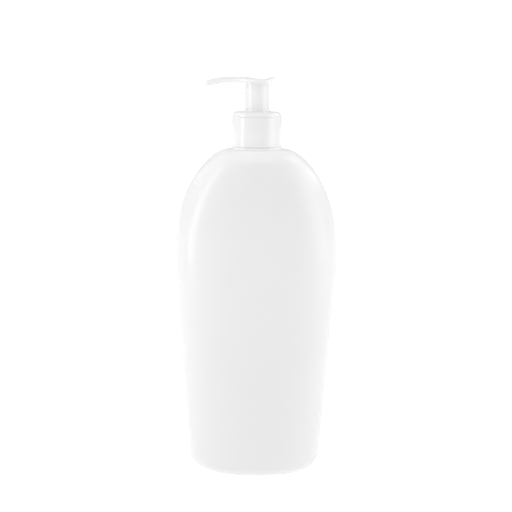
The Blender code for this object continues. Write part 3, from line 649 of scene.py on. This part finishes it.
pin_low, pin_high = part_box("valve_pin")
pin_head_radius = pin_high.x
pin_head_bottom = spring_high.z + 0.3 * MM
pin_head_top = pin_head_bottom + 3.1 * MM
plug_radius = 2.05 * MM
shank_radius = plug_radius + 0.35 * MM
plug_bottom = pin_head_top + 1.5 * MM
pin_bore = 1.2 * MM
bore_floor = pin_head_top + 0.1 * MM
pilot = 2.2 * MM
pilot_tip = 1.2 * MM
pin = turned("valve_pin_plug", [
    (0.0, bore_floor), (pin_bore, bore_floor), (pin_bore, pin_high.z),
    (plug_radius, pin_high.z), (plug_radius, plug_bottom), (shank_radius, plug_bottom),
    (shank_radius, pin_head_top), (pin_head_radius, pin_head_top),
    (pin_head_radius, pin_head_bottom), (pilot, pin_head_bottom),
    (pilot, pin_low.z + 1.0 * MM), (pilot_tip, pin_low.z), (0.0, pin_low.z)], 0.12 * MM, 64)
port = bar("port", 8 * MM, 0.4 * MM, pin_head_top + 0.3 * MM, pin_head_top + 1.1 * MM)
combine(pin, port, "DIFFERENCE")
soften(pin)
finish_piece(pin, natural, "plunger", "natural_pp", "valve_pin")


# ---------------------------------------------------------------------------------------------
# Piston. A spool of soft low-density polyethylene with a thin lip at each end; it drags on the
# barrel, so it slips on the stem at each change of direction and opens and shuts the port.

piston_low, piston_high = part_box("piston")
lip = piston_high.x
lip_wall = 0.3 * MM
lip_length = 3.0 * MM
lip_pocket = 1.4 * MM
piston_bore = 3.65 * MM
web = 4.35 * MM
waist = lip - 0.9 * MM
top = piston_high.z
foot = piston_low.z
piston = turned("piston_spool", [
    (piston_bore, top), (web, top), (web, top - lip_pocket), (lip - lip_wall, top),
    (lip, top - 0.2 * MM), (waist, top - lip_length), (waist, foot + lip_length),
    (lip, foot + 0.2 * MM), (lip - lip_wall, foot), (web, foot + lip_pocket), (web, foot),
    (piston_bore, foot)], 0.1 * MM, 72)
soften(piston)
finish_piece(piston, ldpe, "piston", "natural_ldpe", "piston")


# ---------------------------------------------------------------------------------------------
# Stem. A glossy white polypropylene tube that carries the shampoo up to the head; its collar
# meets the chaplet's floor and ends the upstroke.

stem_low, stem_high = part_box("stem")
stem_collar = stem_high.x
stem_radius = stem_collar - 1.0 * MM
stem_bore = 2.2 * MM
collar_top = chaplet_low.z - 0.3 * MM
collar_foot = collar_top - 1.4 * MM
stem = turned("pump_stem", [
    (stem_bore, stem_high.z), (stem_radius, stem_high.z), (stem_radius, collar_top),
    (stem_collar, collar_top), (stem_collar, collar_foot), (stem_radius, collar_foot),
    (stem_radius, stem_low.z), (stem_bore, stem_low.z)], 0.12 * MM, 72)


def glossy_white(name, tone, gloss):
    """Injection-moulded white polypropylene: glossy, with faint flow marks and fine texture."""
    finish = Finish(name, IOR=1.49, Specular_IOR_Level=0.6, Subsurface_Weight=0.3,
                    Subsurface_Scale=1.0 * MM, Subsurface_Radius=(1.0, 1.0, 1.0))
    drift = finish.grain(14 * MM, 2.0, (1.0, 1.0, 0.4))
    fine = finish.grain(0.6 * MM, 2.0)
    relief = finish.bump(fine, 0.002 * MM, finish.bump(drift, 0.012 * MM))
    white = finish.blend(drift.ramp(0.3, 0.7), (tone - 0.012,) * 3, (tone,) * 3)
    finish.shade(Base_Color=white, Roughness=gloss + drift * 0.04 + fine * 0.02, Normal=relief)
    return finish


stem_white = glossy_white("white_polypropylene_stem", 0.88, 0.18)
soften(stem)
finish_piece(stem, stem_white, "plunger", "white_pp", "stem")


# ---------------------------------------------------------------------------------------------
# Chaplet. White polypropylene cup snapped into the housing; its floor guides the stem, and its
# rim stands a little out of the closure as the ring round the head's sleeve.

chaplet_bore = 7.7 * MM
rim_radius = 8.45 * MM
chaplet_flange = chaplet_high.x
chaplet_radius = 8.8 * MM
guide_bore = 3.8 * MM
chaplet_floor = chaplet_low.z + 1.2 * MM
flange_foot = housing_high.z + 0.3 * MM
flange_top = flange_foot + 1.5 * MM
rim_round = 0.45 * MM
rim = arc(rim_radius - rim_round, chaplet_high.z - rim_round, rim_round, 90, 0, 8)
chaplet = turned("chaplet_guide", [
    (chaplet_bore, chaplet_high.z - 0.1 * MM), *rim, (rim_radius, flange_top),
    (chaplet_flange, flange_top), (chaplet_flange, flange_foot), (chaplet_radius, flange_foot),
    (chaplet_radius, chaplet_low.z), (guide_bore, chaplet_low.z), (guide_bore, chaplet_floor),
    (chaplet_bore, chaplet_floor)], 0.2 * MM)
# The chaplet is white plastic, but its tone is set at 0.94, whiter than the other white parts.
# That extra whiteness is painted light that lightens the shade in the gap where the head's sleeve
# enters its rim.
chaplet_painted_light_white = glossy_white("white_polypropylene_chaplet_painted_light", 0.94, 0.16)
soften(chaplet)
finish_piece(chaplet, chaplet_painted_light_white, "pump_module", "white_pp", "chaplet")


# ---------------------------------------------------------------------------------------------
# Closure. The threaded inner cap, in glossy white polypropylene. Its rounded crown shows above
# the sleeve; a snap bead inside holds the pump's flange, so the pump lifts with the cap.

closure_low, closure_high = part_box("closure")
closure_bore = 13.95 * MM
closure_radius = 14.8 * MM
crown_radius = closure_high.x
crown_foot = closure_high.z - 3.3 * MM
crown_round = 2.6 * MM
hole = 8.55 * MM
roof = closure_high.z - 1.9 * MM
snap = 0.7 * MM
snap_top = flange_bottom - 0.2 * MM
crown = arc(crown_radius - crown_round, closure_high.z - crown_round, crown_round, 90, 0, 14)
closure = turned("threaded_closure", [
    (hole, closure_high.z), *crown, (crown_radius, crown_foot), (closure_radius, crown_foot),
    (closure_radius, closure_low.z), (closure_bore, closure_low.z),
    (closure_bore, snap_top - 2 * snap), (closure_bore - snap, snap_top - 0.4 * MM),
    (closure_bore, snap_top), (closure_bore, roof), (hole, roof)], 0.2 * MM, 128)
combine(closure, thread_ridge("closure_ridge", closure_bore, neck_radius + 0.4 * MM,
                              thread_top - pitch / 2))
closure_white = glossy_white("white_polypropylene_closure", 0.845, 0.14)
soften(closure)
finish_piece(closure, closure_white, "closure", "white_pp", "closure")


# ---------------------------------------------------------------------------------------------
# Collar sleeve. The smooth outer skin of the closure, slightly barrelled, pressed over the cap
# and turned in at the foot. Its rounded top edge draws the fine bright line round the collar.

sleeve_low, sleeve_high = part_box("collar_sleeve")
sleeve_bore = 15.05 * MM
sleeve_edge = 15.65 * MM
belly = 0.4 * MM
third = (sleeve_high.z - sleeve_low.z) / 3
sleeve_lip = sleeve_high.z + 0.25 * MM
lip_bore = crown_radius + 0.02 * MM
rebate = crown_foot - 0.3 * MM
lip_edge = sleeve_edge + 0.12 * MM
lip_round = bezier((lip_bore, sleeve_lip), (lip_edge - 0.2 * MM, sleeve_lip - 0.3 * MM),
                   (lip_edge, sleeve_lip - 0.6 * MM), (lip_edge, sleeve_lip - 1.1 * MM), 8)
flank = bezier(lip_round[-1], (sleeve_edge + belly, sleeve_high.z - third),
               (sleeve_edge + 1.3 * belly, sleeve_low.z + third),
               (sleeve_edge + 0.6 * belly, sleeve_low.z + 0.5 * MM), 24)
turn_in = bezier(flank[-1], (sleeve_edge + 0.5 * belly, sleeve_low.z + 0.2 * MM),
                 (sleeve_edge + 0.35 * belly, sleeve_low.z),
                 (sleeve_edge - 0.1 * MM, sleeve_low.z), 8)
sleeve = turned("outer_collar_sleeve", [
    (sleeve_bore, rebate), (lip_bore, rebate), *lip_round, *flank[1:], *turn_in[1:],
    (sleeve_bore, sleeve_low.z)], 0.08 * MM, 144)
sleeve_white = glossy_white("white_polypropylene_collar", 0.845, 0.13)
soften(sleeve, 60)
finish_piece(sleeve, sleeve_white, "closure", "white_pp", "collar_sleeve")


# ---------------------------------------------------------------------------------------------
# Actuator head. One glossy white polypropylene moulding: a dished round paddle that runs out
# into a long drooping nozzle, the tall sleeve that hides the stem, and the socket inside that
# is pressed on the stem's top.

head_low, head_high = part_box("actuator_head")
paddle_height = 3.8 * MM
underside = head_high.z - paddle_height
reach = -head_low.x
paddle_radius = 11.4 * MM
paddle_dish = 1.5 * MM
dish_offset = 3.7 * MM
dish_run_in = 12.5 * MM
dish_run_out = 6.3 * MM
nozzle_tip = 3.4 * MM
nozzle_bend = 18.0 * MM
nozzle_droop = 2.6 * MM
nozzle_edge = 1.3 * MM
outlet = 1.0 * MM
head_sleeve = 7.65 * MM
head_bore = head_sleeve - 1.05 * MM


def droop(x):
    past = max(0.0, -x - nozzle_bend)
    return nozzle_droop * (past / (reach - nozzle_bend)) ** 1.7


def end_round(distance, radius=nozzle_edge):
    """Loss of half size near a rounded end."""
    left = max(0.0, radius - distance)
    return radius - math.sqrt(max(0.0, radius ** 2 - left ** 2))


def head_ring(x, exponent=2.6, count=64):
    """A section of the head across X: wide and dished over the stem, slim along the nozzle."""
    ease = min(1.0, max(0.0, -x / nozzle_bend))
    ease = ease * ease * (3 - 2 * ease)
    neck = nozzle_tip + 0.8 * MM
    width = paddle_radius + (neck - paddle_radius) * ease
    if x > 0.0:
        width = math.sqrt(max(0.0, paddle_radius ** 2 - x * x))
    if x < -nozzle_bend:
        width = neck - 0.8 * MM * (-x - nozzle_bend) / (reach - nozzle_bend)
    run = dish_run_in if x < dish_offset else dish_run_out
    share = min(1.0, abs(x - dish_offset) / run)
    dish = paddle_dish * (1 + math.cos(math.pi * share)) / 2
    lift = 1.1 * MM * max(0.0, (x - 0.7 * paddle_radius) / (0.3 * paddle_radius)) ** 2
    shrink = end_round(x + reach) + end_round(paddle_radius + 0.2 * MM - x)
    low = underside - droop(x) + lift + shrink
    high = head_high.z - droop(x) - dish - shrink
    width = max(width - end_round(x + reach), 0.6 * MM)
    ring = []
    for i in range(count):
        angle = math.tau * (i + 0.5) / count
        y = width * signed_power(math.cos(angle), 2 / exponent)
        z = (low + high) / 2 + (high - low) / 2 * signed_power(math.sin(angle), 2 / exponent)
        ring.append((x, y, z))
    return ring


stations = [-reach + nozzle_edge * (1 - math.cos(math.radians(11.25 * i))) for i in range(9)]
steps = 48
span = reach - nozzle_edge
stations += [-span + span * i / steps for i in range(1, steps)]
stations += [paddle_radius * math.sin(math.radians(3.6 * i)) for i in range(25)]
head = skin("pump_head", [head_ring(x) for x in stations], cap_start=True, cap_end=True)

flare_radius = 0.9 * MM
flare = arc(head_sleeve + flare_radius, underside + 0.15 * MM - flare_radius, flare_radius,
            90, 180, 6)
tube_top = underside + 1.2 * MM
head_tube = turned("head_tube", [(0.0, tube_top), (flare[0][0], tube_top), *flare,
                                 (head_sleeve, head_low.z), (0.0, head_low.z)], 0.0, 128)
combine(head, head_tube)
socket_top = underside - 2.0 * MM
socket_wall = 5.0 * MM
socket_foot = socket_top - 8.0 * MM
stem_fit = 3.65 * MM
cavity_roof = underside - 1.2 * MM
clear = 0.3 * MM
combine(head, turned("cavity", [
    (0.0, socket_top), (stem_fit, socket_top), (stem_fit, socket_foot),
    (socket_wall, socket_foot), (socket_wall, cavity_roof), (head_bore, cavity_roof),
    (head_bore, head_low.z + clear), (head_bore + clear, head_low.z - clear),
    (0.0, head_low.z - clear)], 0.0, 96), "DIFFERENCE")

channel_z = underside + paddle_height / 2
rise = channel_z - socket_top
channel = []
for i in range(13):
    turn = math.radians(7.5 * i)
    channel.append(Vector((-rise * (1 - math.cos(turn)), 0.0,
                           socket_top - 0.5 * MM + (rise + 0.5 * MM) * math.sin(turn))))
for i in range(20):
    x = -reach * (0.2 + 0.043 * i)
    channel.append(Vector((x, 0.0, channel_z - droop(x))))
sideways = Vector((0.0, 1.0, 0.0))
channel_rings = []
for i, middle in enumerate(channel):
    along = (channel[min(i + 1, len(channel) - 1)] - channel[max(i - 1, 0)]).normalized()
    upward = along.cross(sideways)
    around = [math.tau * k / 28 for k in range(28)]
    channel_rings.append([middle + outlet * (sideways * math.cos(a) + upward * math.sin(a))
                          for a in around])
combine(head, skin("channel", channel_rings, cap_start=True, cap_end=True), "DIFFERENCE")

head_white = glossy_white("white_polypropylene_head", 0.855, 0.17)
soften(head, 42)
finish_piece(head, head_white, "head", "white_pp", "actuator_head")


# ---------------------------------------------------------------------------------------------
# Studio. A white paper sweep in a white room, under plain soft boxes: a narrow tall one on the
# left, a broad one on the right, and large weak ones at both sides, in front, above and behind.

floor_mesh = bpy.data.meshes.new("floor")
bm = bmesh.new()
bmesh.ops.create_grid(bm, x_segments=1, y_segments=1, size=6.0)
bm.to_mesh(floor_mesh)
bm.free()
floor = add_piece("floor", floor_mesh)
floor.location.z = -0.2 * MM
paper = Finish("white_paper", Roughness=0.9, Specular_IOR_Level=0.1, Emission_Strength=0.97,
               Emission_Color=(1.0, 1.0, 1.0))
fibre = paper.grain(2 * MM, 3.0)
paper.shade(Base_Color=paper.blend(fibre, (0.14, 0.14, 0.14), (0.16, 0.16, 0.16)))
floor_mesh.materials.append(paper.material)

world = bpy.data.worlds.new("white_room")
bpy.context.scene.world = world
world.use_nodes = True
room = Graph(world.node_tree)
background = room.tree.nodes["Background"]
seen = room.node("LightPath", {}, out="Is Camera Ray")
strength = room.node("Mix", {"Factor": seen, "A": 0.55, "B": 1.1}, out="Result")
room.feed(background.inputs["Strength"], strength)
room.feed(background.inputs["Color"], (1.0, 1.0, 1.0))


def softbox(name, radiance, width, height, place, turn, tip=0.0):
    """A soft light panel, turned about Z and tipped down from upright, in degrees."""
    data = bpy.data.lights.new(name, "AREA")
    data.shape = "RECTANGLE"
    data.size = width
    data.size_y = height
    data.energy = radiance * math.pi * width * height
    light = bpy.data.objects.new(name, data)
    bpy.context.scene.collection.objects.link(light)
    light.location = place
    light.rotation_euler = (math.radians(90 - tip), 0.0, math.radians(turn))
    light.visible_camera = False


strip_turn = 71.5
strip_distance = 0.65
softbox("left_strip", 3.7, 0.13, 0.9,
        (-strip_distance * math.sin(math.radians(strip_turn)),
         -strip_distance * math.cos(math.radians(strip_turn)), 0.45), -strip_turn)
softbox("left_side", 0.8, 0.8, 0.6, (-0.64, 0.3, 0.7), -90)
softbox("right_box", 1.2, 0.39, 0.6, (0.6, -0.195, 0.3), 90)
softbox("right_side", 1.5, 0.6, 0.6, (0.6, 0.3, 0.7), 90)
softbox("overhead", 1.1, 1.4, 0.35, (0.0, -0.574, 0.969), 0, 55)
softbox("top", 0.2, 1.1, 1.1, (0.0, 0.0, 1.3), 0, 90)
softbox("backdrop", 0.13, 2.6, 1.8, (0.0, 1.1, 0.9), 180)

camera_data = bpy.data.cameras.new("camera")
camera_data.lens = 55.0
camera_data.sensor_width = 36.0
camera = bpy.data.objects.new("camera", camera_data)
bpy.context.scene.collection.objects.link(camera)
tilt = Matrix.Rotation(math.radians(78.0), 3, "X")
lean = Matrix.Rotation(math.radians(0.45), 3, "Z")
camera.rotation_euler = (tilt @ lean).to_euler()
camera.location = (-0.05 * MM, -510.1 * MM, 254.9 * MM)
bpy.context.scene.camera = camera
bpy.context.scene.view_settings.view_transform = "Standard"
